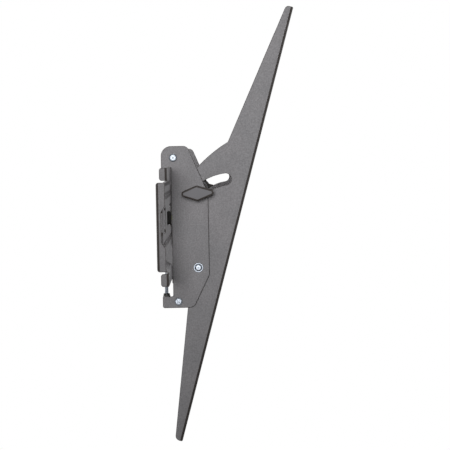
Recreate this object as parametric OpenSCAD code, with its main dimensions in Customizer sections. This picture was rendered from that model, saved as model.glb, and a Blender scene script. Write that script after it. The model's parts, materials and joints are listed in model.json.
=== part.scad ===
// Tilting television wall mount for hole patterns up to 400 mm high, tilted fully down.
// Millimetres. The origin is the middle of the wall plate on the wall, X runs along the rails,
// -Y points from the wall to the television and +Z is up.
// Outlines are drawn as [depth from the wall, height] and their thickness runs inwards, from the
// outer face of a hook plate towards the middle of the mount.

/* [Wall plate] */
// Length of the wall plate along its rails
plate_length = 670; // [560:10:900]
// Height of the wall plate over both rails
plate_height = 111; // [104:1:120]
// Sheet thickness of the wall plate
plate_sheet = 2; // [1.5:0.1:2.5]
// Depth from the wall to the front of the rails
rail_front = 11; // [10:0.5:13]
// Height of the flat face of each rail
rail_height = 12; // [9:0.5:14]
// Height that the jog between the middle panel and a rail takes up
jog_height = 7; // [5:0.5:9]
// Free edge of a rail's end tab, measured from the wall
rail_tab_edge = 3.4; // [2.5:0.1:6]
// Free edge of the middle end tabs, measured from the wall
middle_tab_edge = 8.4; // [6:0.1:9]
// Height of the middle end tabs
middle_tab_height = 83.5; // [70:0.5:84]
// Width of one lag bolt slot
lag_slot_width = 7; // [6:0.5:9]
// Length of one lag bolt slot over its round ends
lag_slot_length = 28; // [20:1:34]
// Spacing of the lag bolt slots along a row
lag_pitch = 50; // [40:1:50]
// Spacing of the two rows of lag bolt slots
lag_row_spacing = 50; // [46:1:54]
// Lag bolt slots in each row
lag_count = 13; // [7:2:13]
// Length of one window in the middle panel
window_length = 60; // [30:1:70]
// Height of the windows
window_height = 26; // [10:1:30]

/* [Spirit level] */
// Length of the level's holder
level_length = 52; // [44:1:60]
// Height of the level's holder
level_height = 14; // [12:0.5:20]
// How far the holder stands out from the middle panel
level_depth = 4.6; // [4.2:0.1:6]
// Diameter of the vial
vial_diameter = 6; // [5:0.5:7]
// Length of the vial
vial_length = 34; // [20:1:38]

/* [Brackets] */
// Spacing of the two brackets over the outer faces of their hook plates
bracket_spacing = 400; // [300:10:500]
// Sheet thickness of the hook plates
hook_sheet = 3; // [2.5:0.1:4]
// Width of the narrow neck of a hook plate at its top
hook_top_depth = 27.7; // [24:0.1:30]
// Greatest depth of a hook plate, measured from the wall
hook_depth = 48; // [46:0.1:52]
// Rise of a hook plate's top edge above the wall plate
hook_rise = 21.3; // [17:0.1:26]
// Height at which the hook plate's upper slope meets its front edge
hook_shoulder = 29.5; // [24:0.1:34]
// Height at which the hook plate's front edge meets its lower slope
hook_waist = -52.5; // [-58:0.1:-50]
// Depth of the lower slope's bottom end
hook_foot_depth = 31.8; // [28:0.1:36]
// Drop of a hook plate's bottom edge below the wall plate
hook_drop = 29.8; // [28.5:0.1:34]
// Height of the lower arm of a hook plate
foot_height = 11.5; // [10:0.1:13]
// How far the hook finger reaches down behind the top rail
finger_reach = 9.5; // [6:0.5:10]
// Distance of the hook finger from the wall
finger_wall_gap = 1.5; // [1:0.1:3]
// Distance of the lower arm's end from the wall
foot_wall_gap = 0.7; // [0.5:0.1:1.2]
// Play between a hook plate and the rails
rail_play = 0.3; // [0.2:0.05:0.4]

/* [Tilt mechanism] */
// Tilt at which the mount is shown, top leaning out from the wall
rest_tilt = 15.4; // [10:0.1:16]
// Angle that the arms swing back from there
tilt_travel = 30.8; // [15:0.2:31]
// Depth of the tilt axis, which has no pin and lies between the flanges of the arms
axis_depth = 72; // [71:0.1:74]
// Height of the tilt axis
axis_height = -7; // [-8:0.1:-6]
// Distance of the tilt axis behind the television face of an arm
axis_behind = 4.1; // [2:0.1:6]
// Distance of the tilt axis below the middle of an arm
axis_below = 4.8; // [3:0.1:7]
// Depth of the clamp bolt
bolt_depth = 37.7; // [36:0.1:39]
// Height of the clamp bolt
bolt_height = 29.5; // [28:0.1:31]
// Thread diameter of the clamp bolt
bolt_diameter = 8; // [6:0.5:8.5]
// Shoulder diameter of the clamp bolt, which runs in the arm's upper slot
bolt_shoulder = 11.2; // [9:0.1:11.5]
// Depth of the pivot rivet
rivet_depth = 37; // [36:0.1:38]
// Height of the pivot rivet
rivet_height = -45.2; // [-47:0.1:-44]
// Shank diameter of the pivot rivet
rivet_diameter = 6; // [5:0.1:7]
// Play on each side of the bolt and the rivet in their slots
slot_play = 0.3; // [0.2:0.05:0.4]
// Spare length of the upper slot past the end of the swing, which the lower slot stops
upper_slot_spare = 4; // [0:0.5:5]
// Play between sliding faces
slip = 0.15; // [0.1:0.05:0.3]
// Thickness of the spacer rings between a hook plate and its arm
spacer_thickness = 1; // [0.6:0.1:1.5]
// Diameter of the friction ring between a hook plate and its arm
friction_diameter = 21.5; // [18:0.5:24]
// Diameter of the pressure disc behind the arm
disc_diameter = 16; // [15:0.5:24]
// Thickness of the pressure disc
disc_thickness = 3; // [2:0.5:4]

/* [Tilt arms] */
// Length of an arm
arm_length = 450; // [430:5:500]
// Sheet thickness of an arm
arm_sheet = 2.5; // [2:0.1:3]
// Width of an arm's flange, which carries the television
flange_width = 27; // [24:1:34]
// Depth of an arm's web at its two ends
arm_tip_depth = 7.5; // [6:0.1:9]
// Depth that the web's two tapers would reach at the arm's middle
arm_middle_depth = 42.3; // [40:0.1:46]
// Distance above the arm's middle at which the ear starts
ear_top = 78.5; // [74:0.5:84]
// Distance below the arm's middle at which the ear ends
ear_bottom = 88; // [80:0.5:94]
// Least metal between a slot and the edge of the ear
ear_wall = 7.5; // [6:0.1:9]
// Spacing of the television's bolt holes
vesa_pitch = 50; // [48:1:53]
// Diameter of the television's bolt holes
vesa_hole = 8.4; // [6.4:0.1:8.6]
// Width of the long slots between the bolt holes
vesa_slot_width = 6.4; // [5:0.1:8]
// Length of the long slots over their round ends
vesa_slot_length = 28; // [18:1:30]

/* [Knobs] */
// Length of a knob's grip
knob_length = 32; // [28:0.5:40]
// Height of a knob's grip
knob_height = 15.2; // [14:0.1:20]
// How far the knob stands out from its hook plate
knob_reach = 22; // [18:0.5:28]
// Thickness of the grip
grip_thickness = 12; // [8:0.5:14]
// Diameter of the knob's hub
hub_diameter = 13; // [12:0.5:15]
// Angle of the grip above level
knob_turn = 2.5; // [-10:0.5:10]

/* [Locks and screws] */
// Diameter of the small pan head screws
screw_diameter = 4; // [3:0.1:4.5]
// Head diameter of the small pan head screws
screw_head = 8; // [7:0.1:9]
// Depth of the hook pad's screw
pad_screw_depth = 13.7; // [13:0.1:15]
// Height of the hook pad's screw above the wall plate
pad_screw_rise = 9.6; // [8:0.1:11]
// Depth of the lock block's screw
block_screw_depth = 16.4; // [15.5:0.1:18]
// Height of the lock block's screw above the hook plate's bottom edge
block_screw_rise = 6.4; // [5.4:0.1:7.4]
// Diameter of a lock screw
lock_diameter = 3.8; // [3:0.1:4.4]
// Distance of a lock screw from the wall
lock_depth = 4.5; // [4.4:0.1:5]
// How far a lock screw reaches up behind the lower rail
lock_reach = 5; // [3:0.5:7]
// Thickness of the hook pads and the lock blocks
pad_thickness = 12; // [10:0.5:14]

/* [Hidden] */
$fa = 6;
$fs = 0.6;
ARC_ERROR = 0.02;
CUT = 1;

// Wall plate
plate_top = plate_height / 2;
rail_back = rail_front - plate_sheet;
rail_bottom = plate_top - rail_height;
jog_start = rail_bottom - jog_height;
jog_angle = atan2(rail_back, jog_height);
jog_shift = plate_sheet * tan(jog_angle / 2);
fold_inside = 1;
fold_outside = fold_inside + plate_sheet;
fold_lead = fold_outside + 2;
tab_corner = 2.5;
notch_mouth = 40;
notch_floor = 28;
notch_floor_edge = middle_tab_edge - 3.9;
window_corner = 4;
window_places = [112, 220];

// Spirit level
vial_floor = 0.4;
vial_depth = plate_sheet + vial_floor + vial_diameter / 2;
vial_play = 0.1;
level_clip = 2;

// Places inwards from the outer face of a hook plate
spacer_in = hook_sheet;
arm_in = spacer_in + spacer_thickness + slip;
disc_in = arm_in + arm_sheet + slip;
bolt_head_in = disc_in + disc_thickness;
pad_in = hook_sheet;
lock_in = pad_in + pad_thickness / 2;

// Clearances and proportions of small parts
hole_play = 0.15;
running_play = 0.05;
screw_head_height = 2.2;
recess_width = 1.1;
recess_length = 4.6;
recess_depth = 1.3;
rivet_flange = 1.62 * rivet_diameter;
rivet_flange_height = 1;
rivet_button_height = 0.8;
bolt_head = 1.6 * bolt_diameter;
bolt_head_height = 3;
bolt_rim = 1;
thread_reach = knob_reach - 7;
hub_gap = 0.4;
hub_height = knob_reach - grip_thickness - hub_gap;
grip_edge = 1.7;
grip_tip = 3;
grip_crown = 3.6;
grip_skew = 1;

// Hook plate
mouth_depth = rail_front + rail_play;
finger_front = rail_back - rail_play;
hook_seat = plate_top + rail_play / 2;
hook_top = plate_top + hook_rise;
hook_bottom = -plate_top - hook_drop;
finger_end = hook_seat - finger_reach;
foot_top = hook_bottom + foot_height;
pad_screw_place = [pad_screw_depth, plate_top + pad_screw_rise];
block_screw_place = [block_screw_depth, hook_bottom + block_screw_rise];

// Lock
block_inset = 0.5;
block_foot_top = foot_top - 2.2;
block_head_top = foot_top + 2;
block_depth = 22;
nut_height = 5.1;
nut_across = 7.6;
lock_head = 7;
lock_head_height = 3;
lock_well = 0.4;
lock_tip = -plate_top + lock_reach;

// Tilt arm, in its own upright frame: the television face at depth 0 and the middle at height 0
arm_axis = [-axis_behind, -axis_below];
tilt_axis = [axis_depth, axis_height];
bolt_place = [bolt_depth, bolt_height];
rivet_place = [rivet_depth, rivet_height];
bend_inside = 0.7;
bend_outside = bend_inside + arm_sheet;
upper_slot_width = bolt_shoulder + 2 * slot_play;
lower_slot_width = rivet_diameter + 2 * slot_play;
slot_end_play = 0.6;
ear_slope = 44;
ear_crown_slope = 23.7;
ear_crown_radius = 145;
vesa_rows = 4;
flange_line = arm_in + arm_sheet + (flange_width - arm_sheet) / 2;

STEEL = "#7d7c7e";
BLACK = "#23221f";
ZINC = "#c5cad2";
VIAL = "#c9d84a";

// Outlines with round corners

function unit(v) = v / norm(v);

function turned(v, angle) = [
    v.x * cos(angle) - v.y * sin(angle),
    v.x * sin(angle) + v.y * cos(angle)
];

// Steps in which an arc stays within ARC_ERROR of the true one
function arc_steps(radius, sweep) = max(2, ceil(abs(sweep) / (2 * acos(1 - ARC_ERROR / radius))));

// The arc that rounds one corner, given as [x, y, radius]
function corner_arc(before, corner, after) =
    let (
        here = [corner[0], corner[1]],
        to_before = unit([before[0], before[1]] - here),
        to_after = unit([after[0], after[1]] - here),
        half = acos(to_before * to_after) / 2,
        centre = here + unit(to_before + to_after) * corner[2] / sin(half),
        start = here + to_before * corner[2] / tan(half),
        sweep = (180 - 2 * half) * sign(cross(-to_before, to_after)),
        steps = arc_steps(corner[2], sweep)
    )
    corner[2] == 0
        ? [here]
        : [for (k = [0 : steps]) centre + turned(start - centre, sweep * k / steps)];

// The points of a closed outline from its list of corners
function rounded(corners) =
    let (n = len(corners))
    [for (i = [0 : n - 1]) each corner_arc(corners[(i + n - 1) % n], corners[i], corners[(i + 1) % n])];

module rounded_box(size, corner) {
    x = size.x / 2;
    y = size.y / 2;
    polygon(rounded([[-x, -y, corner], [x, -y, corner], [x, y, corner], [-x, y, corner]]));
}

// A slot with round ends along X
module slot(length, width) {
    square([length - width, width], center = true);
    for (side = [-1, 1])
        translate([side * (length - width) / 2, 0]) circle(d = width);
}

// Places

// Turns [depth, height, inwards] into the mount's frame
module upright() {
    rotate([90, 0, -90]) children();
}

// The right bracket, with the outer face of its hook plate at 0 inwards
module right() {
    translate([bracket_spacing / 2, 0, 0]) upright() children();
}

module left() {
    mirror([1, 0, 0]) right() children();
}

// Wall plate

// The jogged section, with its corners listed from the middle panel up to the top edge and back
module wall_plate_section() {
    front = [
        [plate_sheet, jog_start - jog_shift, fold_inside],
        [rail_front, rail_bottom - jog_shift, fold_outside],
        [rail_front, plate_top, 0]
    ];
    back = [
        [rail_back, plate_top, 0],
        [rail_back, rail_bottom, fold_inside],
        [0, jog_start, fold_outside]
    ];
    upper = concat(front, back);
    lower = [for (i = [len(upper) - 1 : -1 : 0]) [upper[i][0], -upper[i][1], upper[i][2]]];
    polygon(rounded(concat(upper, lower)));
}

// A sheet that runs along X and is folded at the plate's end, as [inwards, depth]
module end_fold(reach) {
    polygon(rounded([
        [0, 0, fold_outside],
        [fold_lead, 0, 0],
        [fold_lead, plate_sheet, 0],
        [plate_sheet, plate_sheet, fold_inside],
        [plate_sheet, reach, 0],
        [0, reach, 0]
    ]));
}

// A folded end tab cut to the outline given by its child
module end_tab(outer_face, reach, forward) {
    intersection() {
        translate([plate_length / 2, -outer_face, -plate_top])
            mirror([1, 0, 0]) mirror([0, forward ? 1 : 0, 0])
                linear_extrude(plate_height) end_fold(reach);
        translate([plate_length / 2 + CUT, 0, 0])
            upright() linear_extrude(fold_lead + 2 * CUT) children();
    }
}

module rail_tab_outline() {
    polygon(rounded([
        [rail_tab_edge, rail_bottom, tab_corner],
        [rail_front, rail_bottom, 0],
        [rail_front, plate_top, 0],
        [rail_tab_edge, plate_top, tab_corner]
    ]));
}

module middle_tab_outline() {
    half = middle_tab_height / 2;
    polygon(rounded([
        [0, -half, tab_corner],
        [middle_tab_edge, -half, tab_corner / 2],
        [middle_tab_edge, -notch_mouth / 2, 1],
        [notch_floor_edge, -notch_floor / 2, 1],
        [notch_floor_edge, notch_floor / 2, 1],
        [middle_tab_edge, notch_mouth / 2, 1],
        [middle_tab_edge, half, tab_corner / 2],
        [0, half, tab_corner]
    ]));
}

module plate_end() {
    for (side = [0, 1])
        mirror([0, 0, side])
            end_tab(rail_front, rail_front - rail_tab_edge, false) rail_tab_outline();
    end_tab(0, middle_tab_edge, true) middle_tab_outline();
}

module wall_plate() {
    color(STEEL) {
        difference() {
            translate([plate_length / 2 - fold_outside, 0, 0])
                upright() linear_extrude(plate_length - 2 * fold_outside) wall_plate_section();
            rotate([90, 0, 0])
                translate([0, 0, -CUT]) linear_extrude(plate_sheet + 2 * CUT) wall_plate_cuts();
        }
        for (side = [0, 1])
            mirror([side, 0, 0]) plate_end();
    }
}

// Lag bolt slots and windows of the middle panel
module wall_plate_cuts() {
    for (column = [0 : lag_count - 1], row = [-1, 1])
        translate([(column - (lag_count - 1) / 2) * lag_pitch, row * lag_row_spacing / 2])
            slot(lag_slot_length, lag_slot_width);
    for (side = [-1, 1], place = window_places)
        translate([side * place, 0]) rounded_box([window_length, window_height], window_corner);
}

// Spirit level

module level_holder() {
    color(BLACK)
        difference() {
            translate([0, -plate_sheet, 0]) rotate([90, 0, 0])
                linear_extrude(level_depth) rounded_box([level_length, level_height], level_clip);
            translate([0, -vial_depth, 0]) rotate([0, 90, 0])
                cylinder(d = vial_diameter + 2 * vial_play, h = vial_length + 2 * vial_play, center = true);
        }
}

module level_vial() {
    color(VIAL)
        translate([0, -vial_depth, 0]) rotate([0, 90, 0])
            cylinder(d = vial_diameter, h = vial_length, center = true);
}

// Hook plate and what is screwed to it

module hook_plate_outline() {
    polygon(rounded([
        [foot_wall_gap, hook_bottom, 2],
        [hook_foot_depth, hook_bottom, 8],
        [hook_depth, hook_waist, 5],
        [hook_depth, hook_shoulder, 5],
        [hook_top_depth, hook_top, 6],
        [finger_wall_gap, hook_top, 10],
        [finger_wall_gap, finger_end, 2],
        [finger_front, finger_end, 1.5],
        [finger_front, hook_seat, 0.5],
        [mouth_depth, hook_seat, 0.5],
        [mouth_depth, foot_top, 1.5],
        [foot_wall_gap, foot_top, 1]
    ]));
}

module hook_plate() {
    color(STEEL)
        difference() {
            linear_extrude(hook_sheet) hook_plate_outline();
            hole(bolt_place, bolt_diameter);
            hole(rivet_place, rivet_diameter);
            hole(pad_screw_place, screw_diameter);
            hole(block_screw_place, screw_diameter);
        }
}

// A clearance hole through a hook plate
module hole(place, diameter) {
    translate([place.x, place.y, -CUT]) cylinder(d = diameter + 2 * hole_play, h = hook_sheet + 2 * CUT);
}

// The nylon pad that rests on the top rail beside the hook
module hook_pad() {
    color(BLACK)
        difference() {
            translate([0, 0, pad_in]) linear_extrude(pad_thickness)
                polygon(rounded([
                    [finger_wall_gap + 1, hook_top - 5, 6],
                    [finger_wall_gap + 1, finger_end + 1, 1.5],
                    [finger_front, finger_end + 1, 1],
                    [finger_front, hook_seat, 0.5],
                    [mouth_depth + 1.5, hook_seat, 1],
                    [hook_top_depth - 8, hook_seat + 5, 3],
                    [hook_top_depth - 8, hook_top - 5, 4]
                ]));
            screw_bore(pad_screw_place);
        }
}

module hook_pad_screw() {
    pan_head_screw(pad_screw_place);
}

// The blind bore in which a small screw holds
module screw_bore(place) {
    translate([place.x, place.y, pad_in - CUT])
        cylinder(d = screw_diameter + 2 * running_play, h = pad_thickness - 1 + CUT);
}

module pan_head_screw(place) {
    color(ZINC)
        translate([place.x, place.y, 0])
            difference() {
                union() {
                    cylinder(d = screw_diameter, h = pad_in + pad_thickness - 2);
                    rotate([180, 0, 0]) pan_head();
                }
                for (arm = [0, 90])
                    rotate([0, 0, 45 + arm])
                        translate([0, 0, -screw_head_height])
                            cube([recess_length, recess_width, 2 * recess_depth], center = true);
            }
}

// A pan head that stands on its flat face
module pan_head() {
    edge = 0.45 * screw_head_height;
    rotate_extrude()
        polygon(concat(
            [[0, 0], [screw_head / 2, 0], [screw_head / 2, edge]],
            [for (a = [15 : 15 : 75]) [
                screw_head / 4 + screw_head / 4 * cos(a),
                edge + (screw_head_height - edge) * sin(a)
            ]],
            [[screw_head / 4, screw_head_height], [0, screw_head_height]]
        ));
}

// The block that carries the lock screw
module lock_block() {
    color(BLACK)
        difference() {
            translate([0, 0, pad_in]) linear_extrude(pad_thickness)
                polygon(rounded([
                    [foot_wall_gap + block_inset, hook_bottom + block_inset, 1.5],
                    [block_depth, hook_bottom + block_inset, 3],
                    [block_depth, block_head_top, 3],
                    [mouth_depth + 1, block_head_top, 1],
                    [mouth_depth + 1, block_foot_top, 0.5],
                    [foot_wall_gap + block_inset, block_foot_top, 0.8]
                ]));
            screw_bore(block_screw_place);
            lock_line(hook_bottom, lock_diameter + 2 * running_play, block_foot_top - hook_bottom + CUT);
            lock_line(hook_bottom, lock_head + 2 * lock_well, block_inset + lock_head_height + lock_well);
        }
}

// A cylinder on the lock screw's line that starts at a height
module lock_line(from, diameter, length) {
    translate([lock_depth, from, lock_in]) rotate([-90, 0, 0]) cylinder(d = diameter, h = length);
}

module lock_block_screw() {
    pan_head_screw(block_screw_place);
}

module lock_nut() {
    color(BLACK)
        difference() {
            translate([lock_depth, block_foot_top, lock_in]) rotate([-90, 0, 0])
                union() {
                    cylinder(d = nut_across, h = 0.6 * nut_height, $fn = 6);
                    cylinder(d = 0.86 * nut_across, h = nut_height - 0.8);
                    translate([0, 0, nut_height - 0.8])
                        cylinder(d1 = 0.86 * nut_across, d2 = 0.66 * nut_across, h = 0.8);
                }
            lock_line(block_foot_top - CUT, lock_diameter + 2 * running_play, nut_height + 2 * CUT);
        }
}

module lock_screw() {
    head_bottom = hook_bottom + block_inset + lock_well;
    tip = 0.8;
    color(ZINC) {
        lock_line(head_bottom, lock_diameter, lock_tip - tip - head_bottom);
        translate([lock_depth, lock_tip - tip, lock_in]) rotate([-90, 0, 0])
            cylinder(d1 = lock_diameter, d2 = lock_diameter - 1.4, h = tip);
        difference() {
            lock_line(head_bottom, lock_head, lock_head_height - lock_well);
            for (arm = [0, 90])
                translate([lock_depth, head_bottom, lock_in]) rotate([0, arm, 0])
                    cube([recess_length, 2 * recess_depth, recess_width], center = true);
        }
    }
}

// Tilt mechanism

module pivot_rivet() {
    color(ZINC)
        translate([rivet_depth, rivet_height, 0]) {
            cylinder(d = rivet_diameter, h = disc_in + 2);
            translate([0, 0, disc_in + 1.5])
                cylinder(d1 = 1.5 * rivet_diameter, d2 = 1.25 * rivet_diameter, h = 1.5);
            rotate([180, 0, 0]) rivet_head();
        }
}

// The flanged head with its raised button
module rivet_head() {
    button = 0.48 * rivet_diameter;
    rotate_extrude()
        polygon([
            [0, 0],
            [rivet_flange / 2, 0],
            [rivet_flange / 2, 0.5 * rivet_flange_height],
            [rivet_flange / 2 - 0.4, rivet_flange_height],
            [button + 0.7, rivet_flange_height],
            [button + 0.5, 0.6 * rivet_flange_height],
            [button, 0.6 * rivet_flange_height],
            [button, rivet_flange_height + 0.6 * rivet_button_height],
            [button - 0.5, rivet_flange_height + rivet_button_height],
            [0.5, rivet_flange_height + rivet_button_height],
            [0, rivet_flange_height + 0.5 * rivet_button_height]
        ]);
}

// A flat ring on a pin
module ring(place, outside, inside, from, thickness) {
    translate([place.x, place.y, from])
        difference() {
            cylinder(d = outside, h = thickness);
            translate([0, 0, -CUT]) cylinder(d = inside, h = thickness + 2 * CUT);
        }
}

module pivot_spacer() {
    color(BLACK)
        ring(rivet_place, 2.4 * rivet_diameter, rivet_diameter + 2 * hole_play, spacer_in, spacer_thickness);
}

module pivot_washer() {
    color(ZINC)
        ring(rivet_place, 2.7 * rivet_diameter, rivet_diameter + 2 * hole_play, disc_in, 1.5);
}

module friction_ring() {
    color(BLACK)
        ring(bolt_place, friction_diameter, bolt_shoulder + 2 * hole_play, spacer_in, spacer_thickness);
}

module pressure_disc() {
    color(STEEL)
        ring(bolt_place, disc_diameter, bolt_shoulder + 2 * hole_play, disc_in, disc_thickness);
}

// The carriage bolt whose shoulder runs in the arm's upper slot and whose thread ends in the knob
module clamp_bolt() {
    color(BLACK)
        translate([bolt_depth, bolt_height, 0]) {
            translate([0, 0, spacer_in]) cylinder(d = bolt_shoulder, h = bolt_head_in - spacer_in);
            translate([0, 0, bolt_head_in]) bolt_dome();
            translate([0, 0, -thread_reach]) cylinder(d = bolt_diameter, h = thread_reach + spacer_in);
        }
}

module bolt_dome() {
    rotate_extrude()
        polygon(concat(
            [[0, 0], [bolt_head / 2, 0]],
            [for (a = [0 : 15 : 90]) [
                bolt_head / 2 * cos(a),
                bolt_rim + (bolt_head_height - bolt_rim) * sin(a)
            ]]
        ));
}

// A knob with a long grip on a round hub
module knob() {
    tips = [for (side = [-1, 1]) [side * (knob_length / 2 - grip_tip), 0, grip_tip]];
    half_height = knob_height / 2;
    crowns = [for (side = [-1, 1]) [-side * grip_skew, side * (half_height - grip_crown), grip_crown]];
    color(STEEL)
        translate([bolt_depth, bolt_height, 0]) rotate([0, 0, knob_turn])
            difference() {
                union() {
                    translate([0, 0, -hub_gap - hub_height - 2])
                        cylinder(d = hub_diameter, h = hub_height + 2);
                    translate([0, 0, -knob_reach])
                        hull()
                            for (corner = concat(tips, crowns))
                                translate([corner[0], corner[1], 0]) grip_corner(corner[2]);
                }
                translate([0, 0, -thread_reach - 0.5])
                    cylinder(d = bolt_diameter + 2 * running_play, h = thread_reach + CUT);
            }
}

// One corner of the grip, with its front edge rounded
module grip_corner(radius) {
    rotate_extrude($fn = 24)
        polygon(concat(
            [[0, 0]],
            [for (a = [90 : -22.5 : 0]) [
                radius - grip_edge + grip_edge * cos(a),
                grip_edge - grip_edge * sin(a)
            ]],
            [[radius, grip_thickness - 1], [radius - 1, grip_thickness], [0, grip_thickness]]
        ));
}

// Tilt arm

// Depth of the tapered web at a height on the arm
function taper(height) =
    arm_middle_depth - (arm_middle_depth - arm_tip_depth) * abs(height) / (arm_length / 2);

// A place on the bracket as the upright arm sees it at the mount's rest tilt
function on_arm(place) = arm_axis + turned(place - tilt_axis, rest_tilt);

// The web seen from the side, with the ear that carries both slots
module web_outline() {
    bolt = on_arm(bolt_place);
    rivet = on_arm(rivet_place);
    rivet_end = arm_axis + turned(rivet - arm_axis, -tilt_travel);
    upper_margin = upper_slot_width / 2 + ear_wall;
    lower_margin = lower_slot_width / 2 + ear_wall;
    crown_half = (ear_slope - ear_crown_slope) / 2;
    crown_run = ear_crown_radius * tan(crown_half);
    root = [-taper(ear_top), ear_top];
    crown = root + crown_run * [-sin(ear_slope), -cos(ear_slope)];
    heel_height = bolt.y + 0.75 * upper_margin;
    heel = [crown.x - (crown.y - heel_height) * tan(ear_crown_slope), heel_height];
    polygon(rounded([
        [0, -arm_length / 2, 1],
        [0, arm_length / 2, 1],
        [-arm_tip_depth, arm_length / 2, 4],
        [root.x, root.y, 2],
        [crown.x, crown.y, ear_crown_radius],
        [heel.x, heel.y, upper_margin],
        [rivet_end.x - lower_margin, rivet_end.y + lower_margin, 25],
        [rivet_end.x - lower_margin + 3, rivet_end.y - 0.9 * lower_margin, 14],
        [rivet.x - 1.2 * lower_margin, rivet.y - 0.8 * lower_margin, 20],
        [-taper(ear_bottom), -ear_bottom, 12],
        [-arm_tip_depth, -arm_length / 2, 5]
    ]));
}

// Points of an arc up to the one before its end, where the next arc starts
function arc(centre, radius, from, to) =
    let (steps = arc_steps(radius, to - from))
    [for (k = [0 : steps - 1])
        let (angle = from + (to - from) * k / steps)
        centre + radius * [cos(angle), sin(angle)]];

// A slot round the tilt axis that starts at a pin's place and runs past the swing by a spare length
module swing_slot(place, width, spare) {
    start = on_arm(place) - arm_axis;
    radius = norm(start);
    half = width / 2;
    first = atan2(start.y, start.x);
    top = first + slot_end_play / radius * 180 / PI;
    bottom = first - tilt_travel - (slot_end_play + spare) / radius * 180 / PI;
    top_centre = arm_axis + radius * [cos(top), sin(top)];
    bottom_centre = arm_axis + radius * [cos(bottom), sin(bottom)];
    polygon(concat(
        arc(arm_axis, radius + half, bottom, top),
        arc(top_centre, half, top, top + 180),
        arc(arm_axis, radius - half, top, bottom),
        arc(bottom_centre, half, bottom + 180, bottom + 360)
    ));
}

// The bent sheet seen along the arm, as [depth, inwards]
module arm_section() {
    web_back = -2 * arm_middle_depth;
    polygon(rounded([
        [web_back, arm_in, 0],
        [0, arm_in, bend_outside],
        [0, arm_in + flange_width, 0.8],
        [-arm_sheet, arm_in + flange_width, 0.8],
        [-arm_sheet, arm_in + arm_sheet, bend_inside],
        [web_back, arm_in + arm_sheet, 0]
    ]));
}

// The flange seen from the television, as [inwards, height]
module flange_outline() {
    half = arm_length / 2;
    polygon(rounded([
        [arm_in, -half, 0],
        [arm_in + flange_width, -half, 5],
        [arm_in + flange_width, half, 5],
        [arm_in, half, 0]
    ]));
}

// Bolt holes at the standard spacings, with long slots between them
module flange_holes() {
    for (side = [-1, 1], step = [1 : vesa_rows]) {
        translate([flange_line, side * step * vesa_pitch]) circle(d = vesa_hole);
        translate([flange_line, side * (step - 0.5) * vesa_pitch])
            rotate(90) slot(vesa_slot_length, vesa_slot_width);
    }
}

// Turns [inwards, height] outlines to stand across the depth, from a depth towards the wall
module across_flange(from, thickness) {
    translate([from, 0, 0]) rotate([0, -90, 0]) linear_extrude(thickness) children();
}

module tilt_arm() {
    color(STEEL)
        translate([tilt_axis.x, tilt_axis.y, 0]) rotate([0, 0, -rest_tilt])
            translate([-arm_axis.x, -arm_axis.y, 0])
                difference() {
                    intersection() {
                        translate([0, arm_length / 2 + CUT, 0]) rotate([90, 0, 0])
                            linear_extrude(arm_length + 2 * CUT) arm_section();
                        linear_extrude(arm_in + flange_width + CUT) web_outline();
                        across_flange(CUT, 2 * arm_middle_depth + CUT) flange_outline();
                    }
                    translate([0, 0, arm_in - CUT])
                        linear_extrude(arm_sheet + 2 * CUT) {
                            swing_slot(bolt_place, upper_slot_width, upper_slot_spare);
                            swing_slot(rivet_place, lower_slot_width, 0);
                        }
                    across_flange(CUT, arm_sheet + 2 * CUT) flange_holes();
                }
}

wall_plate();
level_holder();
level_vial();
left() hook_plate();  // left_hook_plate
left() hook_pad();  // left_hook_pad
left() hook_pad_screw();  // left_hook_pad_screw
left() lock_block();  // left_lock_block
left() lock_block_screw();  // left_lock_block_screw
left() lock_nut();  // left_lock_nut
left() lock_screw();  // left_lock_screw
left() pivot_rivet();  // left_pivot_rivet
left() pivot_spacer();  // left_pivot_spacer
left() pivot_washer();  // left_pivot_washer
left() clamp_bolt();  // left_clamp_bolt
left() friction_ring();  // left_friction_ring
left() pressure_disc();  // left_pressure_disc
left() knob();  // left_knob
left() tilt_arm();  // left_tilt_arm
right() hook_plate();  // right_hook_plate
right() hook_pad();  // right_hook_pad
right() hook_pad_screw();  // right_hook_pad_screw
right() lock_block();  // right_lock_block
right() lock_block_screw();  // right_lock_block_screw
right() lock_nut();  // right_lock_nut
right() lock_screw();  // right_lock_screw
right() pivot_rivet();  // right_pivot_rivet
right() pivot_spacer();  // right_pivot_spacer
right() pivot_washer();  // right_pivot_washer
right() clamp_bolt();  // right_clamp_bolt
right() friction_ring();  // right_friction_ring
right() pressure_disc();  // right_pressure_disc
right() knob();  // right_knob
right() tilt_arm();  // right_tilt_arm
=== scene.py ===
# %% [markdown]
# # A tilting television wall mount
#
# The mount hangs on a wall and carries a television on two tilted arms. Almost all of it is steel
# sheet: stamped, folded and powder coated in one mid grey. What catches the eye on it is small, such
# as bright zinc screws, a rivet, two moulded knobs and the dark edges where the sheet turns away.
# The solids carry the sizes, so this script gives each surface its finish, rounds the sheets' edges
# and models the small turned and moulded pieces anew.

# %% Load the frame
import json
import math

import bmesh
import bpy
from mathutils import Matrix, Vector


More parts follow.
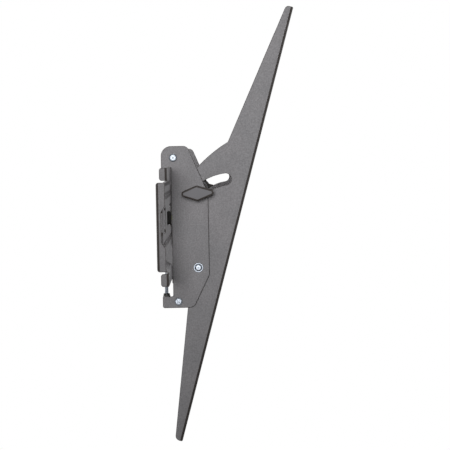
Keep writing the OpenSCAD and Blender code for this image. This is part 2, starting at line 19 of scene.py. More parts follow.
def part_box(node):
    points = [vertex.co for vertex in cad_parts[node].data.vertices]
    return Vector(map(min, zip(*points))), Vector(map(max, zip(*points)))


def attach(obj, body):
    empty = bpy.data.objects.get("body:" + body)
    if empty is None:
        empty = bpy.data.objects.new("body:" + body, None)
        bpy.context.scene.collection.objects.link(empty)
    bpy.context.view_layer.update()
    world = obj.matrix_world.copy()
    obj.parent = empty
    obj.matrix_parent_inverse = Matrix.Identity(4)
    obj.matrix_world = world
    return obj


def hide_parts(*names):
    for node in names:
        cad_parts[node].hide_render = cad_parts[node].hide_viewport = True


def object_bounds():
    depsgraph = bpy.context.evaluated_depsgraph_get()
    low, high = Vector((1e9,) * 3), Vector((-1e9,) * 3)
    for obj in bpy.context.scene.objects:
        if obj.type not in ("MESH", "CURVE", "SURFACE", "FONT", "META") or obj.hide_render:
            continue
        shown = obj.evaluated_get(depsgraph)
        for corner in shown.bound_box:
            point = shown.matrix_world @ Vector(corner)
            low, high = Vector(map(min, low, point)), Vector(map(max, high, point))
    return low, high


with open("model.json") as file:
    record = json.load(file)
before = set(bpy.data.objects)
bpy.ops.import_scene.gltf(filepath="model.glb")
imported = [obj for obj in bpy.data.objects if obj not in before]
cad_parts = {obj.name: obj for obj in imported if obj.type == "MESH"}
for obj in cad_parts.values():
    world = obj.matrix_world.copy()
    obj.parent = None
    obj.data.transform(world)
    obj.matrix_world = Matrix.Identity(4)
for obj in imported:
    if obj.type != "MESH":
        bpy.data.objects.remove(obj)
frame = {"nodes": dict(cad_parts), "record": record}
solids_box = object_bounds()
MM = 0.001
SIDES = {"left": -1, "right": 1}
print("solids box in mm:", [[round(v / MM, 1) for v in corner] for corner in solids_box])

# %% [markdown]
# ## Colours
#
# A colour picked from a picture is in sRGB, which is how a screen stores it. A shader works with
# light, so it wants linear values. One function turns the usual hex code into them.


# %% A hex code to a linear colour
def linear(hex_code):
    channels = [int(hex_code[i : i + 2], 16) / 255 for i in (1, 3, 5)]
    light = [c / 12.92 if c <= 0.04045 else ((c + 0.055) / 1.055) ** 2.4 for c in channels]
    return (*light, 1.0)


print("half grey as light:", round(linear("#808080")[0], 3))


# %% [markdown]
# ## The camera
#
# The picture looks along the rails from the mount's left end, with a long lens from about two
# metres away. A long lens flattens the depth: the far bracket is 400 mm behind the near one, and
# only a rim of it shows. The camera is placed by where it stands and turned by small angles, so
# that the vanishing point of the rails falls where the picture has it.

# %% Place the camera
PICTURE = 450
SENSOR = 36.0
FOCAL_PIXELS = 1952.4

camera_data = bpy.data.cameras.new("camera")
camera_data.sensor_width = SENSOR
camera_data.lens = SENSOR * FOCAL_PIXELS / PICTURE
camera_data.clip_start = 0.05
camera_data.clip_end = 20
camera = bpy.data.objects.new("camera", camera_data)
bpy.context.scene.collection.objects.link(camera)
bpy.context.scene.camera = camera

YAW = math.radians(-0.1597)
PITCH = math.radians(-1.8375)
ROLL = math.radians(-1.101)
camera.location = (-2153 * MM, -58.97 * MM, 59.59 * MM)
look_along_rails = Matrix.Rotation(math.radians(-90), 4, "Z") @ Matrix.Rotation(math.radians(90), 4, "X")
turn = Matrix.Rotation(YAW, 4, "Y") @ Matrix.Rotation(PITCH, 4, "X") @ Matrix.Rotation(ROLL, 4, "Z")
camera.rotation_mode = "QUATERNION"
camera.rotation_quaternion = (look_along_rails @ turn).to_quaternion()
print("lens in mm:", round(camera_data.lens, 1))

# %% [markdown]
# ## Light
#
# In the picture the faces that look at the camera are evenly lit, and what turns away goes nearly
# black. That is one soft box, no wider than a door, a little way behind the camera. It stands to the
# wall's side of it, so the wall plate's end throws a short soft shadow on the hook plate, and a
# little high, so each knob's shadow falls just below it. A grid in front of it narrows the beam,
# which is aimed above the near bracket, so the arms get darker towards their lower ends. The other
# boxes stand over the mount and beyond it, for the views from there. The world adds a weak fill, and
# a dim room to reflections. It is white only to the camera, so the background is white without
# lighting the object.


# %% Make the lights
def soft_box(name, location, target, size, power, spread=180):
    data = bpy.data.lights.new(name, "AREA")
    data.shape = "RECTANGLE"
    data.size, data.size_y = size
    data.energy = power
    data.spread = math.radians(spread)
    lamp = bpy.data.objects.new(name, data)
    lamp.location = location
    lamp.rotation_mode = "QUATERNION"
    lamp.rotation_quaternion = (Vector(target) - Vector(location)).to_track_quat("-Z", "Y")
    bpy.context.scene.collection.objects.link(lamp)
    return lamp


ORIGIN = (0, 0, 0)
ABOVE_NEAR_BRACKET = (-0.2, -0.03, 0.26)
GRID = 33

soft_box("key", (-3.0, 0.1, 0.33), ABOVE_NEAR_BRACKET, (0.78, 0.6), 3.25, GRID)
soft_box("television_side", (1.0, -1.9, 0.6), ORIGIN, (1.4, 1.4), 30)
soft_box("wall_side", (1.3, 1.6, 0.5), ORIGIN, (1.4, 1.4), 36)
soft_box("top", (0.3, -0.2, 2.0), ORIGIN, (1.2, 0.8), 14)

# %% [markdown]
# The shaders and the world are built from nodes. One small function adds a node, sets it up and
# links it, so each line of a material reads as what it does.


# %% Add a node, and make the world with it
def add(tree, kind, inputs=(), links=(), **settings):
    """Adds a shader node, sets its properties and inputs, and links other nodes' outputs to it."""
    node = tree.nodes.new(kind)
    for name, value in settings.items():
        setattr(node, name, value)
    for name, value in dict(inputs).items():
        node.inputs[name].default_value = value
    for name, source in dict(links).items():
        tree.links.new(source, node.inputs[name])
    return node


FILL = 0.1
MIRRORED = 0.35
world = bpy.data.worlds.new("studio")
world.use_nodes = True
world_tree = world.node_tree
world_tree.nodes.clear()
rays = add(world_tree, "ShaderNodeLightPath").outputs
seen = add(
    world_tree, "ShaderNodeMath", operation="MAXIMUM",
    links={0: rays["Is Camera Ray"], 1: rays["Is Transmission Ray"]},
)
around = add(
    world_tree, "ShaderNodeMapRange", inputs={"To Min": FILL, "To Max": MIRRORED},
    links={"Value": rays["Is Glossy Ray"]},
)
strength = add(
    world_tree, "ShaderNodeMath", operation="MAXIMUM",
    links={0: seen.outputs[0], 1: around.outputs[0]},
)
background = add(
    world_tree, "ShaderNodeBackground", inputs={"Color": (1, 1, 1, 1)},
    links={"Strength": strength.outputs[0]},
)
add(world_tree, "ShaderNodeOutputWorld", links={"Surface": background.outputs[0]})
bpy.context.scene.world = world
bpy.context.scene.view_settings.view_transform = "Standard"
print("world:", len(world_tree.nodes), "nodes, fill", FILL, "and mirrored", MIRRORED)

# %% [markdown]
# ## Materials
#
# Every pattern is worked out from a real size in millimetres. The shaders read Object coordinates,
# which are metres here, so a noise whose blotches are one size wide has a scale of one over it.


# %% Helpers for materials
def per_metre(size_mm):
    return 1.0 / (size_mm * MM)


def new_material(name):
    material = bpy.data.materials.new(name)
    material.use_nodes = True
    tree = material.node_tree
    tree.nodes.clear()
    shader = add(tree, "ShaderNodeBsdfPrincipled")
    add(tree, "ShaderNodeOutputMaterial", links={"Surface": shader.outputs[0]})
    coords = add(tree, "ShaderNodeTexCoord").outputs["Object"]
    return material, tree, shader, coords


def noise(tree, coords, size_mm, detail=2.0):
    """A cloudy value from 0 to 1 whose blotches are about one size wide."""
    inputs = {"Scale": per_metre(size_mm), "Detail": detail}
    return add(tree, "ShaderNodeTexNoise", inputs=inputs, links={"Vector": coords}).outputs["Fac"]


def spread_out(tree, value, low, high, to_low=0.0, to_high=1.0):
    """Stretches the part of a value between low and high over another range."""
    inputs = {"From Min": low, "From Max": high, "To Min": to_low, "To Max": to_high}
    return add(tree, "ShaderNodeMapRange", inputs=inputs, links={"Value": value}).outputs["Result"]


def mixed(tree, factor, low, high):
    """A colour between two, each given as a colour or as another node's output."""
    mix = add(tree, "ShaderNodeMix", data_type="RGBA", links={"Factor": factor})
    for socket, colour in ((mix.inputs["A"], low), (mix.inputs["B"], high)):
        if isinstance(colour, bpy.types.NodeSocket):
            tree.links.new(colour, socket)
        else:
            socket.default_value = colour
    return mix.outputs["Result"]


# %% [markdown]
# ### Powder coat on steel
#
# Powder is sprayed dry on the earthed sheet and melts in an oven into a skin about 80 micrometres
# thick. The textured kind keeps a grain of fine pimples, less than a millimetre apart, which breaks
# up the reflection and gives the grey its sandy look. One noise gives that grain, in colour,
# roughness and bump. It is drawn about twice as coarse as the real one, which would be too fine to
# show from here. A slow noise gives the faint clouds where the coat is thicker. Rims and the outside
# of folds get a dark colour that is painted shade, for the light turning away there. Which faces
# those are is worked out with the shapes, and comes here as an attribute of painted shade.

# %% Powder coated steel
GRAIN = 1.3
CLOUD = 40
PIMPLE_TONES = ((0.84, 0.84, 0.84, 1), (1.14, 1.14, 1.14, 1))


def powder_coat(name, light, dark, painted_shade):
    material, tree, shader, coords = new_material(name)
    grain = noise(tree, coords, GRAIN, 3.0)
    clouds = noise(tree, coords, CLOUD)
    cloudy = mixed(tree, spread_out(tree, clouds, 0.35, 0.65), linear(dark), linear(light))
    pimples = mixed(tree, spread_out(tree, grain, 0.3, 0.7), *PIMPLE_TONES)
    sandy = add(tree, "ShaderNodeMix", data_type="RGBA", blend_type="MULTIPLY", inputs={"Factor": 1.0})
    tree.links.new(cloudy, sandy.inputs["A"])
    tree.links.new(pimples, sandy.inputs["B"])
    # Painted shade: a dark colour on rims, folds and end tabs, where the light turns away.
    painted_shade_mask = add(tree, "ShaderNodeAttribute", attribute_name="painted_shade").outputs["Fac"]
    tree.links.new(mixed(tree, painted_shade_mask, sandy.outputs["Result"], linear(painted_shade)), shader.inputs["Base Color"])
    height = {"Strength": 0.5, "Distance": 0.12 * MM}
    bump = add(tree, "ShaderNodeBump", inputs=height, links={"Height": grain})
    tree.links.new(bump.outputs[0], shader.inputs["Normal"])
    tree.links.new(spread_out(tree, grain, 0.3, 0.7, 0.62, 0.5), shader.inputs["Roughness"])
    shader.inputs["Specular IOR Level"].default_value = 0.12
    return material


# The last colour is painted shade for rims, folds and end tabs.
POWDER_COAT = powder_coat("powder coated steel", "#807e80", "#7a797b", "#3d3937")

# %% [markdown]
# ### Zinc plate
#
# The screws and the rivet are steel with a thin bright coat of zinc under a clear blue passivate,
# which gives the metal its cold, slightly milky shine. The bloom on it is drawn coarser than the real
# one, or it would not show.


# %% Bright zinc plate
BLOOM = 0.9


def zinc_plate(name):
    material, tree, shader, coords = new_material(name)
    bloom = noise(tree, coords, BLOOM)
    colour = mixed(tree, spread_out(tree, bloom, 0.35, 0.65), linear("#868c94"), linear("#a0a6ae"))
    tree.links.new(colour, shader.inputs["Base Color"])
    tree.links.new(spread_out(tree, bloom, 0.3, 0.7, 0.44, 0.54), shader.inputs["Roughness"])
    shader.inputs["Metallic"].default_value = 1.0
    return material


ZINC = zinc_plate("bright zinc plate")

# %% [markdown]
# ### Moulded plastics and black oxide
#
# The knobs are moulded in ABS coloured to go with the powder coat, and finer in grain than it. Their
# flat front is the palest part, because every face that turns away from it is marked with an
# attribute and gets a darker colour, which is painted shade for the light turning away there. The
# pads, rings and lock blocks are black nylon, which comes out of its mould matt and very dark. The
# lock nuts are steel with a black oxide, a little smoother than the nylon. The mould's grain is drawn coarser
# than the real one too.


# %% Moulded plastic
def moulded(name, colour, pale, roughness, grain_mm, painted_rim_shade=None):
    material, tree, shader, coords = new_material(name)
    grain = noise(tree, coords, grain_mm)
    height = {"Strength": 0.25, "Distance": 0.05 * MM}
    bump = add(tree, "ShaderNodeBump", inputs=height, links={"Height": grain})
    tone = mixed(tree, spread_out(tree, grain, 0.3, 0.7), linear(colour), linear(pale))
    # The rim colour is painted shade on faces turned away from the front.
    if painted_rim_shade:
        on_shaded_rim = add(tree, "ShaderNodeAttribute", attribute_name="painted_rim_shade").outputs["Fac"]
        tone = mixed(tree, on_shaded_rim, tone, linear(painted_rim_shade))
    tree.links.new(tone, shader.inputs["Base Color"])
    rough = spread_out(tree, grain, 0.3, 0.7, roughness - 0.05, roughness + 0.05)
    tree.links.new(rough, shader.inputs["Roughness"])
    tree.links.new(bump.outputs[0], shader.inputs["Normal"])
    shader.inputs["Specular IOR Level"].default_value = 0.25
    return material


# The last colour is painted shade for the knob's rim.
KNOB_ABS = moulded("moulded grey ABS", "#646366", "#69686b", 0.6, 0.6, painted_rim_shade="#383330")
BLACK_NYLON = moulded("moulded black nylon", "#292725", "#32302d", 0.55, 0.7)
BLACK_OXIDE = moulded("black oxide on steel", "#1d1c1a", "#252421", 0.42, 0.4)

# %% [markdown]
# ### The level's vial
#
# The vial is a clear acrylic tube of tinted spirit. It is one solid here, so it gets the colour of
# the liquid with a smooth clear skin. The bubble is the same spirit with the light shining through.


# %% Tinted spirit in acrylic
SWIRL = 9.0


def tinted_spirit(name, deep, pale):
    material, tree, shader, coords = new_material(name)
    colour = mixed(tree, noise(tree, coords, SWIRL), linear(deep), linear(pale))
    tree.links.new(colour, shader.inputs["Base Color"])
    shader.inputs["Roughness"].default_value = 0.08
    shader.inputs["Transmission Weight"].default_value = 0.35
    shader.inputs["IOR"].default_value = 1.49
    return material


SPIRIT = tinted_spirit("tinted spirit in acrylic", "#b9cc3a", "#d5e35a")
BUBBLE = tinted_spirit("bubble in the spirit", "#e6efa2", "#eff5b8")

FINISHES = {
    "grey_steel": POWDER_COAT,
    "grey_plastic": KNOB_ABS,
    "black_plastic": BLACK_NYLON,
    "black_nut": BLACK_OXIDE,
    "zinc": ZINC,
    "level_liquid": SPIRIT,
}
print("finishes:", ", ".join(finish.name for finish in FINISHES.values()))

# %% [markdown]
# ## Pieces on the frame
#
# Each piece stands for one solid of the frame, and takes its body, its slot and its finish. Whether
# an edge is shaded smooth or sharp follows from the angle between its two faces.

# %% Make a piece from a bmesh
SLOT_OF = {row["node"]: row["material_slot"] for row in frame["record"]["subparts"]}
BODY_OF = {node: body for body, nodes in frame["record"]["behaviour"]["bodies"].items() for node in nodes}
SMOOTH_BELOW = math.radians(32)


def shade_by_angle(shape):
    for face in shape.faces:
        face.smooth = True
    for edge in shape.edges:
        edge.smooth = len(edge.link_faces) == 2 and edge.calc_face_angle(math.pi) < SMOOTH_BELOW


def add_piece(name, shape, node, finish=None, stands_for=True):
    """Makes an object of a bmesh that rides with a solid, and takes its place unless told not to."""
    shade_by_angle(shape)
    mesh = bpy.data.meshes.new(name)
    shape.to_mesh(mesh)
    shape.free()
    mesh.materials.append(finish or FINISHES[SLOT_OF[node]])
    piece = bpy.data.objects.new(name, mesh)
    bpy.context.scene.collection.objects.link(piece)
    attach(piece, BODY_OF[node])
    if stands_for:
        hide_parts(node)
    return piece


# %% [markdown]
# ### Sheets with rounded rims
#
# Stamped sheet is never quite sharp, and the coat rounds its rims a little more. A copy of the solid
# has its loose triangles merged and its sharp edges bevelled. Only where two of them meet in a
# narrow wedge are they left sharp, since a bevel would shoot out of the wedge's tip. Rims and folds
# then get an attribute of painted shade, which darkens them as if the light turned away there: a rim
# is what the bevel made, and a fold is a face that is turned between the sheet's side and its front.

# %% Round a solid's edges
MERGE = 0.02 * MM
SHARP = math.radians(50)
WEDGE = math.radians(20)


def ends_in_wedge(edge, others):
    """Tells whether an edge meets another one of a set in a narrow wedge."""
    for tip in edge.verts:
        along = edge.other_vert(tip).co - tip.co
        for other in others.intersection(tip.link_edges) - {edge}:
            if along.angle(other.other_vert(tip).co - tip.co) < WEDGE:
                return True
    return False


def rounded_copy(node, edge_mm):
    """A copy of a solid's mesh with rounded sharp edges, marked for painted shade where the rounding made
    faces.
    """
    shape = bmesh.new()
    shape.from_mesh(frame["nodes"][node].data)
    painted_shade = shape.faces.layers.float.new("painted_shade")
    bmesh.ops.remove_doubles(shape, verts=shape.verts, dist=MERGE)
    sharp = {e for e in shape.edges if len(e.link_faces) == 2 and e.calc_face_angle() > SHARP}
    rounded = [edge for edge in shape.edges if edge in sharp and not ends_in_wedge(edge, sharp)]
    made = bmesh.ops.bevel(
        shape, geom=rounded, offset=edge_mm * MM, segments=2, profile=0.5, affect="EDGES", material=-1,
        clamp_overlap=False,
    )
    # The faces the bevel made are marked for painted shade.
    for face in made["faces"]:
        face[painted_shade] = 1.0
    return shape


# %% [markdown]
# The wall plate, the hook plates and the arms are all cut from sheet and coated the same way, so one
# loop makes them. Their folds get painted shade, and the whole of the wall plate's end tabs get a
# little of it, so the tabs come out darker than the plate.

# %% Coat the sheets
RIM = 0.4
FOLD_TURN = (0.12, 0.98)
PAINTED_SHADE_ON_TABS = 0.18
TAB_DEPTH = 2.5
SHEETS = ["wall_plate", *(f"{side}_{sheet}" for side in SIDES for sheet in ("hook_plate", "tilt_arm"))]

plate_end = solids_box[1].x - TAB_DEPTH * MM
for node in SHEETS:
    shape = rounded_copy(node, RIM)
    painted_shade = shape.faces.layers.float["painted_shade"]
    # Folds are marked for painted shade, and the end tabs for a little of it.
    for face in shape.faces:
        if FOLD_TURN[0] < abs(face.normal.x) < FOLD_TURN[1]:
            face[painted_shade] = 1.0
        elif abs(face.calc_center_median().x) > plate_end:
            face[painted_shade] = max(face[painted_shade], PAINTED_SHADE_ON_TABS)
    sheet = add_piece(f"{node}_coated", shape, node)
    print(sheet.name, len(sheet.data.polygons), "faces")

# %% [markdown]
# The nylon pads, blocks and discs, the washers and the clamp bolt are right as solids too. They only
# want the soft edge of a moulding or of a tumbled turned part.

# %% Round the small solids
SOFT_EDGES = {
    "hook_pad": 0.6,
    "lock_block": 0.5,
    "pivot_spacer": 0.15,
    "pivot_washer": 0.2,
    "friction_ring": 0.15,
    "pressure_disc": 0.4,
    "clamp_bolt": 0.2,
}
for side in SIDES:
    for solid, edge in SOFT_EDGES.items():
        node = f"{side}_{solid}"
        add_piece(f"{node}_finished", rounded_copy(node, edge), node)
print("small solids rounded:", len(SIDES) * len(SOFT_EDGES))

# %% [markdown]
# ## Turned and moulded pieces
#
# The small pieces are modelled once, in millimetres, standing on the hook plate with Z pointing
# away from it, X to the television and Y up. A matrix puts them on either bracket. On the right
# bracket it mirrors them, so their normals are worked out again.


# %% Turn a profile, and stand a shape on a bracket
TO_METRES = Matrix.Diagonal((MM, MM, MM, 1))


def turned(profile, steps=48):
    """A closed shape turned round Z from points of [radius, height]."""
    shape = bmesh.new()
    points = [shape.verts.new((radius, 0, height)) for radius, height in profile]
    line = [shape.edges.new(pair) for pair in zip(points, points[1:])]
    bmesh.ops.spin(
        shape, geom=points + line, cent=(0, 0, 0), axis=(0, 0, 1), angle=2 * math.pi, steps=steps,
        use_merge=True,
    )
    bmesh.ops.remove_doubles(shape, verts=shape.verts, dist=1e-4)
    bmesh.ops.recalc_face_normals(shape, faces=shape.faces)
    return shape


def quarter(centre_radius, centre_height, radius, first, last, steps=5):
    """Points of an arc in a profile, from one angle to another in degrees."""
    angles = [math.radians(first + (last - first) * k / steps) for k in range(steps + 1)]
    return [(centre_radius + radius * math.cos(a), centre_height + radius * math.sin(a)) for a in angles]


def middle_of(node):
    low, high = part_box(node)
    return (low + high) / 2


def stand_on_bracket(shape, side, node):
    """Moves a shape in millimetres to a solid's axis, standing on its hook plate's outer face."""
    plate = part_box(f"{side}_hook_plate")
    face = plate[0].x if side == "left" else plate[1].x
    middle = middle_of(node)
    out = SIDES[side] * MM
    place = Matrix(((0, 0, out, face), (-MM, 0, 0, middle.y), (0, MM, 0, middle.z), (0, 0, 0, 1)))
    shape.transform(place)
    bmesh.ops.recalc_face_normals(shape, faces=shape.faces)


# %% [markdown]
# ### Pan head screws
#
# A pan head is turned, and its cross recess is struck by a punch with four tapered wings. The same
# is done here: two tapered bars and a small cone are cut out of the head with a Boolean, which is
# simpler and cleaner than weaving the cross into the head's own faces.


# %% Cut one shape out of another
CROSS_LENGTH = 4.9
CROSS_WIDTH = 1.05
CROSS_DEPTH = 1.4
WING_TAPER = (0.5, 0.25, 1)
PUNCH_TIP = 0.35
PUNCH_MOUTH = 1.35
PUNCH_HEIGHT = 3.4


def cut_out(shape, cutters):
    """Subtracts each cutter from a shape with Boolean modifiers, and returns the new shape."""
    objects = []
    for part in [shape, *cutters]:
        mesh = bpy.data.meshes.new("blank")
        part.to_mesh(mesh)
        part.free()
        objects.append(bpy.data.objects.new("blank", mesh))
        bpy.context.scene.collection.objects.link(objects[-1])
    blank = objects[0]
    for cutter in objects[1:]:
        struck = blank.modifiers.new("cut", "BOOLEAN")
        struck.operation = "DIFFERENCE"
        struck.solver = "EXACT"
        struck.object = cutter
    bpy.context.view_layer.update()
    result = bmesh.new()
    result.from_object(blank, bpy.context.evaluated_depsgraph_get())
    for spent in objects:
        bpy.data.objects.remove(spent)
    return result


def punch_wing(length, width, depth, top, angle):
    """One tapered bar of the punch, with its upper end above the head."""
    wing = bmesh.new()
    bmesh.ops.create_cube(wing, size=1.0, matrix=Matrix.Diagonal((length, width, 2 * depth, 1)))
    floor = [v for v in wing.verts if v.co.z < 0]
    bmesh.ops.scale(wing, vec=WING_TAPER, verts=floor)
    turn_wing = Matrix.Rotation(math.radians(angle), 3, "Z")
    bmesh.ops.rotate(wing, verts=wing.verts, cent=(0, 0, 0), matrix=turn_wing)
    bmesh.ops.translate(wing, verts=wing.verts, vec=(0, 0, top))
    return wing


def with_cross(shape, top):
    """Strikes a cross recess into the top of a head."""
    centre = bmesh.new()
    bmesh.ops.create_cone(
        centre, segments=24, radius1=PUNCH_TIP, radius2=PUNCH_MOUTH, depth=PUNCH_HEIGHT, cap_ends=True,
        matrix=Matrix.Translation((0, 0, top)),
    )
    wings = [punch_wing(CROSS_LENGTH, CROSS_WIDTH, CROSS_DEPTH, top, angle) for angle in (45, 135)]
    return cut_out(shape, [*wings, centre])


# %% Make the four pan head screws
HEAD_RADIUS = 4.0
HEAD_HEIGHT = 2.2
HEAD_RIM = 0.9
HEAD_FOOT_EDGE = (0.15, 0.2)
SHANK_RADIUS = 2.0
SHANK_LENGTH = 13.0

for side in SIDES:
    for holds in ("hook_pad", "lock_block"):
        dome = [
            (0.5 * HEAD_RADIUS * (1 + math.cos(a)), HEAD_RIM + (HEAD_HEIGHT - HEAD_RIM) * math.sin(a))
            for a in (math.radians(angle) for angle in range(0, 91, 9))
        ]
        shank = [(0, -SHANK_LENGTH), (SHANK_RADIUS, -SHANK_LENGTH), (SHANK_RADIUS, 0)]
        foot = [(HEAD_RADIUS - HEAD_FOOT_EDGE[0], 0), (HEAD_RADIUS, HEAD_FOOT_EDGE[1])]
        head = [*foot, *dome, (0, HEAD_HEIGHT)]
        screw = with_cross(turned([*shank, *head]), HEAD_HEIGHT)
        node = f"{side}_{holds}_screw"
        stand_on_bracket(screw, side, node)
        print(add_piece(f"{node}_head", screw, node).name)

# %% [markdown]
# ### Pivot rivets
#
# The rivet's near end has a flat flange and a raised button with a dimple, left by the tool that
# closed it. It is turned from one profile. The groove round the button narrows to its floor, so it
# stays dark, which is what makes the rivet look like a target in the picture.

# %% Make the two rivets
FLANGE_RADIUS = 4.86
FLANGE_HEIGHT = 1.0
FLANGE_FOOT = 4.76
FLANGE_EDGE = 0.4
BUTTON_RADIUS = 2.88
BUTTON_HEIGHT = 1.8
BUTTON_EDGE = 0.6
GROOVE_WIDTH = 1.0
GROOVE_EDGE = 0.2
GROOVE_FLOOR = 0.15
PIN_RADIUS = 3.0
TAIL_RADIUS = 4.5
TAIL_TIP = 3.75
TAIL_HEIGHT = 1.5
DIMPLE_MOUTH = 0.75
DIMPLE_FLOOR = 0.35
DIMPLE_SIDE = 0.5
DIMPLE_DEPTH = 0.6

for side in SIDES:
    node = f"{side}_pivot_rivet"
    low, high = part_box(node)
    through = (high.x - low.x) / MM - BUTTON_HEIGHT
    rivet = turned([
        (0, -through),
        (TAIL_TIP, -through),
        (TAIL_RADIUS, -through + TAIL_HEIGHT),
        (PIN_RADIUS, -through + TAIL_HEIGHT),
        (PIN_RADIUS, 0),
        (FLANGE_FOOT, 0),
        *quarter(FLANGE_RADIUS - FLANGE_EDGE, FLANGE_HEIGHT - FLANGE_EDGE, FLANGE_EDGE, 0, 90, 3),
        *quarter(BUTTON_RADIUS + GROOVE_WIDTH, FLANGE_HEIGHT - GROOVE_EDGE, GROOVE_EDGE, 90, 180, 2),
        (BUTTON_RADIUS + GROOVE_FLOOR, GROOVE_FLOOR),
        (BUTTON_RADIUS, GROOVE_EDGE),
        *quarter(BUTTON_RADIUS - BUTTON_EDGE, BUTTON_HEIGHT - BUTTON_EDGE, BUTTON_EDGE, 0, 90, 4),
        (DIMPLE_MOUTH, BUTTON_HEIGHT),
        (DIMPLE_FLOOR, BUTTON_HEIGHT - DIMPLE_SIDE),
        (0, BUTTON_HEIGHT - DIMPLE_DEPTH),
    ])
    stand_on_bracket(rivet, side, node)
    print(add_piece(f"{node}_turned", rivet, node).name)

# %% [markdown]
# ### Clamp knobs
#
# Each knob is a long moulded grip on a round hub. Its outline is a slim rhombus with round corners,
# turned a little, as two fingers left it. A stack of circles stands at each corner, and the
# convex hull round all of them is the grip, with its front edge already rounded. Adding the hub as a
# second closed shell is cleaner than cutting one into the other, because the joint never shows.

# %% Make the two knobs
KNOB_TURN = math.radians(2.5)
GRIP_FRONT = 22.0
GRIP_BACK = 10.0
GRIP_EDGE = 1.7
GRIP_BACK_EDGE = 0.8
TIPS = [(-13.0, 0.0, 3.0), (13.0, 0.0, 3.0)]
CROWNS = [(-0.4, -4.0, 3.7), (-0.7, 4.0, 3.6)]
FLAT = math.radians(0.5)
HUB_RADIUS = 6.5
HUB_NECK = 6.2
HUB_TOP = 12.0
HUB_EDGE = 0.6
HUB_GAP = 0.4
FACE_TURN = 0.995


def grip_corner(shape, x, y, radius):
    """The circles of one corner of the grip, from its front edge to its back."""
    front = quarter(radius - GRIP_EDGE, GRIP_FRONT - GRIP_EDGE, GRIP_EDGE, 90, 0, 6)
    back = [(radius, GRIP_BACK + GRIP_BACK_EDGE), (radius - GRIP_BACK_EDGE, GRIP_BACK)]
    for level_radius, height in front + back:
        spot = Matrix.Translation((x, y, height))
        bmesh.ops.create_circle(shape, segments=48, radius=level_radius, matrix=spot)


for side in SIDES:
    node = f"{side}_knob"
    knob = bmesh.new()
    for x, y, radius in TIPS + CROWNS:
        grip_corner(knob, x, y, radius)
    hull = bmesh.ops.convex_hull(knob, input=knob.verts)
    spare = hull["geom_interior"] + hull["geom_unused"]
    inside = [part for part in spare if isinstance(part, bmesh.types.BMVert)]
    bmesh.ops.delete(knob, geom=inside, context="VERTS")
    loose = [edge for edge in knob.edges if not edge.link_faces]
    bmesh.ops.delete(knob, geom=loose, context="EDGES")
    bmesh.ops.dissolve_limit(knob, angle_limit=FLAT, verts=knob.verts, edges=knob.edges)
    hub = turned([
        (0, HUB_GAP),
        *quarter(HUB_RADIUS - HUB_EDGE, HUB_GAP + HUB_EDGE, HUB_EDGE, -90, 0, 3),
        (HUB_NECK, HUB_TOP),
        (0, HUB_TOP),
    ])
    hub_mesh = bpy.data.meshes.new("hub")
    hub.to_mesh(hub_mesh)
    hub.free()
    knob.from_mesh(hub_mesh)
    bpy.data.meshes.remove(hub_mesh)
    bmesh.ops.recalc_face_normals(knob, faces=knob.faces)
    # Faces turned away from the flat front are marked for painted shade.
    painted_rim_shade = knob.faces.layers.float.new("painted_rim_shade")
    for face in knob.faces:
        face[painted_rim_shade] = float(face.normal.z < FACE_TURN)
    turned_a_little = Matrix.Rotation(KNOB_TURN, 3, "Z")
    bmesh.ops.rotate(knob, verts=knob.verts, cent=(0, 0, 0), matrix=turned_a_little)
    stand_on_bracket(knob, side, node)
    print(add_piece(f"{node}_moulded", knob, node).name)

# %% [markdown]
# ### Lock screws and nuts
#
# A long M4 screw stands in each lock block and reaches up behind the lower rail. Its thread is drawn
# as a stack of ridges 0.7 mm apart. A true helix would look the same at this size, and ridges close
# on themselves, so the mesh has no open ends.

# %% Make the lock screws
THREAD_PITCH = 0.7
THREAD_DEPTH = 0.28
THREAD_RADIUS = 1.9
ROOT_FLAT = 0.06
CREST_FLAT = 0.04
PLAIN_SHANK = 6.0
RUN_OUT = 0.2
TIP_RADIUS = 1.2
TIP_HEIGHT = 0.8
LOCK_HEAD_RADIUS = 3.5
LOCK_HEAD_HEIGHT = 2.6
LOCK_HEAD_EDGE = 0.8


def stand_upright(shape, node, turn=Matrix()):
    """Moves a shape in millimetres onto a solid's upright axis, from the solid's lower end."""
    middle, foot = middle_of(node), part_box(node)[0].z
    shape.transform(Matrix.Translation((middle.x, middle.y, foot)) @ TO_METRES @ turn)
    bmesh.ops.recalc_face_normals(shape, faces=shape.faces)


def ridge(height):
    """The profile of one ridge of the thread, from a height up."""
    root, crest = THREAD_RADIUS - THREAD_DEPTH, height + 0.5 * THREAD_PITCH
    return [
        (root, height + ROOT_FLAT),
        (THREAD_RADIUS, crest - CREST_FLAT),
        (THREAD_RADIUS, crest + CREST_FLAT),
        (root, height + THREAD_PITCH - ROOT_FLAT),
    ]


for side in SIDES:
    node = f"{side}_lock_screw"
    low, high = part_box(node)
    top = (high.z - low.z) / MM
    first_ridge = LOCK_HEAD_HEIGHT + PLAIN_SHANK
    ridges = int((top - TIP_HEIGHT - first_ridge) / THREAD_PITCH)
    thread = [point for k in range(ridges) for point in ridge(first_ridge + k * THREAD_PITCH)]
    screw = turned(
        [
            (0, 0),
            *quarter(LOCK_HEAD_RADIUS - LOCK_HEAD_EDGE, LOCK_HEAD_EDGE, LOCK_HEAD_EDGE, -90, 0, 4),
            (LOCK_HEAD_RADIUS, LOCK_HEAD_HEIGHT),
            (THREAD_RADIUS, LOCK_HEAD_HEIGHT),
            (THREAD_RADIUS, first_ridge - RUN_OUT),
            *thread,
            (TIP_RADIUS, top),
            (0, top),
        ],
        steps=32,
    )
    flip = Matrix.Rotation(math.pi, 4, "X")
    screw.transform(flip)
    screw = with_cross(screw, 0)
    stand_upright(screw, node, turn=flip)
    print(add_piece(f"{node}_threaded", screw, node).name, ridges, "ridges")

# %% Make the lock nuts
NUT_RADIUS = 3.8
NUT_FLATS = 3.06
NUT_EDGE = 0.25
COLLAR_RADIUS = 3.27
COLLAR_SINK = 0.5
COLLAR_EDGE = 0.8

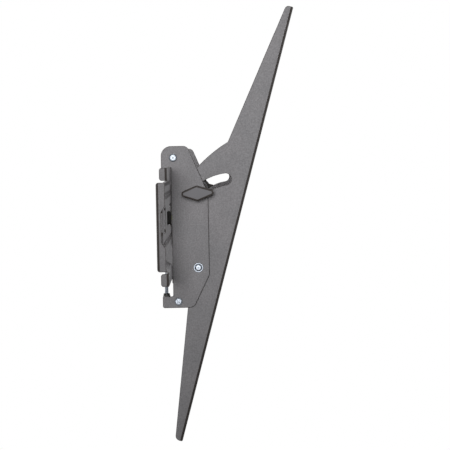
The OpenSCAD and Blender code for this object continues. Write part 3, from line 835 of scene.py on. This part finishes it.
for side in SIDES:
    node = f"{side}_lock_nut"
    low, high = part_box(node)
    top = (high.z - low.z) / MM
    nut = turned([
        (0, NUT_FLATS - COLLAR_SINK),
        (COLLAR_RADIUS, NUT_FLATS - COLLAR_SINK),
        *quarter(COLLAR_RADIUS - COLLAR_EDGE, top - COLLAR_EDGE, COLLAR_EDGE, 0, 90, 4),
        (0, top),
    ])
    flats = bmesh.ops.create_cone(
        nut, segments=6, radius1=NUT_RADIUS, radius2=NUT_RADIUS, depth=NUT_FLATS, cap_ends=True,
        matrix=Matrix.Translation((0, 0, NUT_FLATS / 2)),
    )
    corners = {edge for vert in flats["verts"] for edge in vert.link_edges}
    bmesh.ops.bevel(
        nut, geom=list(corners), offset=NUT_EDGE, segments=2, profile=0.5, affect="EDGES", material=-1,
    )
    stand_upright(nut, node)
    print(add_piece(f"{node}_finished", nut, node).name)

# %% [markdown]
# ### Spirit level
#
# A black holder clips into the wall plate's middle, and a vial lies in it. The vial is turned with
# round ends. Two black rings on it mark the middle, and the bubble stands between them.

# %% Make the level
HOLDER_EDGE = 0.3
ROUND_END = 1.2

add_piece("level_holder_moulded", rounded_copy("level_holder", HOLDER_EDGE), "level_holder")
vial_low, vial_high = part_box("level_vial")
vial_middle = middle_of("level_vial")
vial_radius = (vial_high.z - vial_low.z) / 2 / MM
vial_half = (vial_high.x - vial_low.x) / 2 / MM
lie_along_rails = Matrix.Translation(vial_middle) @ Matrix.Rotation(math.radians(90), 4, "Y")

vial = turned([
    (0, -vial_half),
    *quarter(vial_radius - ROUND_END, -vial_half + ROUND_END, ROUND_END, -90, 0),
    *quarter(vial_radius - ROUND_END, vial_half - ROUND_END, ROUND_END, 0, 90),
    (0, vial_half),
])
vial.transform(lie_along_rails @ TO_METRES)
bmesh.ops.recalc_face_normals(vial, faces=vial.faces)
add_piece("level_vial_tube", vial, "level_vial")

# %% Mark the vial, and put its bubble in
RING_PLACE = 5.0
RING_HALF = 0.3
RING_STANDS_OUT = 0.05
BUBBLE_HALF = (4.2, 1.3, 1.1)
BUBBLE_BELOW_SKIN = 0.9

for name, place in (("level_ring_left", -RING_PLACE), ("level_ring_right", RING_PLACE)):
    reach = vial_radius + RING_STANDS_OUT
    near, far = place - RING_HALF, place + RING_HALF
    ring = turned([(0, near), (reach, near), (reach, far), (0, far)])
    ring.transform(lie_along_rails @ TO_METRES)
    bmesh.ops.recalc_face_normals(ring, faces=ring.faces)
    add_piece(name, ring, "level_vial", finish=BLACK_NYLON, stands_for=False)

bubble = bmesh.new()
bmesh.ops.create_uvsphere(bubble, u_segments=32, v_segments=16, radius=1.0)
rise = 0.7 * (vial_radius - BUBBLE_BELOW_SKIN) * MM
to_size = Matrix.Diagonal((*(half * MM for half in BUBBLE_HALF), 1))
bubble.transform(Matrix.Translation(vial_middle + Vector((0, -rise, rise))) @ to_size)
add_piece("level_bubble", bubble, "level_vial", finish=BUBBLE, stands_for=False)
print("vial in mm:", round(2 * vial_radius, 1), "by", round(2 * vial_half, 1))
